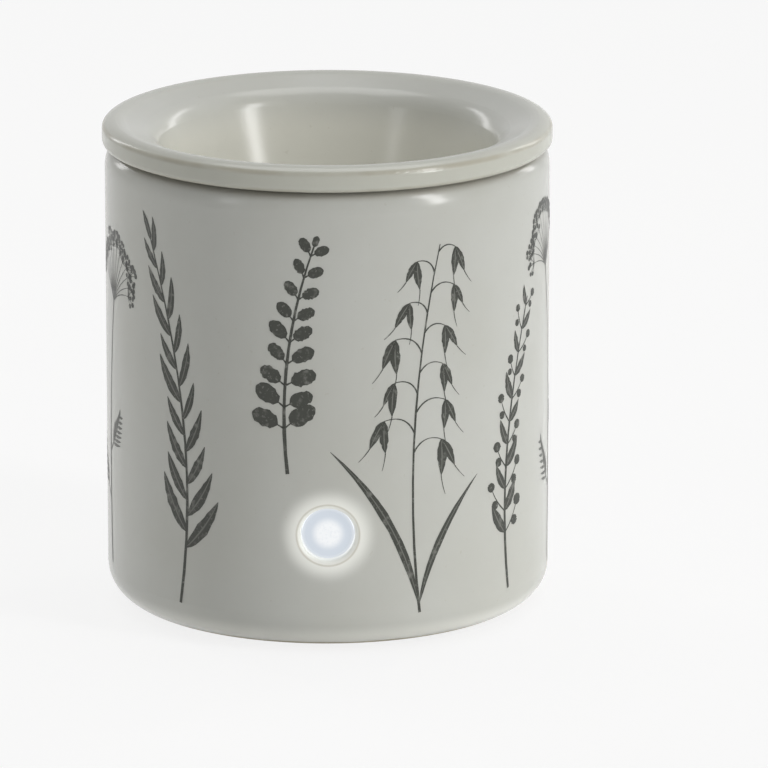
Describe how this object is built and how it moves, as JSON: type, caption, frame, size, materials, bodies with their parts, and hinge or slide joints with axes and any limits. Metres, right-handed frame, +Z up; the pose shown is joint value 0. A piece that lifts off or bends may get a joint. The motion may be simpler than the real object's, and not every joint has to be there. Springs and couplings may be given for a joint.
{
  "type": "wax melt warmer",
  "caption": "Electric wax melt warmer: straight glazed ceramic body, lift-off ceramic dish over a hidden heat plate, and a lit push button low at the front.",
  "frame": {"origin": "on the table under the middle of the body, level with the rubber feet's undersides", "axes": "+Z up along the body's axis, -Y to the front where the button is, +X to the right seen from the front"},
  "size_m": [0.1016, 0.1016, 0.1118],
  "materials": {
    "glaze": "satin gloss glaze, unglazed foot ring",
    "print_ink": "dark plant motifs printed under the glaze",
    "dish_glaze": "satin gloss glaze",
    "frosted_lens": "frosted, lit from behind",
    "dark_plastic": "fine grain",
    "pale_plastic": "moulded",
    "rubber": "matte",
    "zinc_steel": "zinc plated",
    "pan_steel": "pressed sheet",
    "heat_aluminium": "turned face",
    "fibre_pad": "pressed fibre",
    "mica": "laminate",
    "board": "solder mask",
    "capacitor": "dipped film",
    "led": "water clear",
    "lead_brown": "silicone sleeve",
    "lead_blue": "silicone sleeve",
    "lead_white": "silicone sleeve"
  },
  "bodies": {
    "housing": {"base_plate": "dark_plastic", "base_screws": "zinc_steel", "board_bracket": "pale_plastic", "board_connector": "pale_plastic", "board_screws": "zinc_steel", "body_shell": "glaze", "clamp_nut": "zinc_steel", "clamp_washer": "zinc_steel", "control_board": "board", "controller_chip": "dark_plastic", "cord_gland": "rubber", "deck": "pale_plastic", "deck_screws": "zinc_steel", "film_capacitor": "capacitor", "foot_back_left": "rubber", "foot_back_right": "rubber", "foot_front_left": "rubber", "foot_front_right": "rubber", "fuse_clip": "pan_steel", "heat_plate": "heat_aluminium", "heater_pan": "pan_steel", "heating_element": "mica", "indicator_led": "led", "insulation_pad": "fibre_pad", "lead_fuse": "lead_white", "lead_live": "lead_brown", "lead_neutral": "lead_blue", "lead_return": "lead_blue", "lead_switched": "lead_brown", "pan_screws": "zinc_steel", "pillar_back_left": "zinc_steel", "pillar_back_right": "zinc_steel", "pillar_front_left": "zinc_steel", "pillar_front_right": "zinc_steel", "pillar_screws": "zinc_steel", "switch_body": "dark_plastic", "terminal_block": "pale_plastic", "terminal_screws": "zinc_steel", "thermal_fuse": "zinc_steel", "triac": "dark_plastic"},
    "dish": {"wax_dish": "dish_glaze"},
    "button": {"button_cap": "frosted_lens", "switch_plunger": "dark_plastic"}
  },
  "joints": [
    {"name": "dish_lift", "type": "slide", "parent": "housing", "child": "dish", "axis": [0, 0, 1], "range_m": [0, 0.05]},
    {"name": "button_press", "type": "slide", "parent": "housing", "child": "button", "axis": [0, 1, 0], "range_m": [0, 0.0008], "stiffness_N_per_m": 1500, "springref_m": -0.0003}
  ]
}
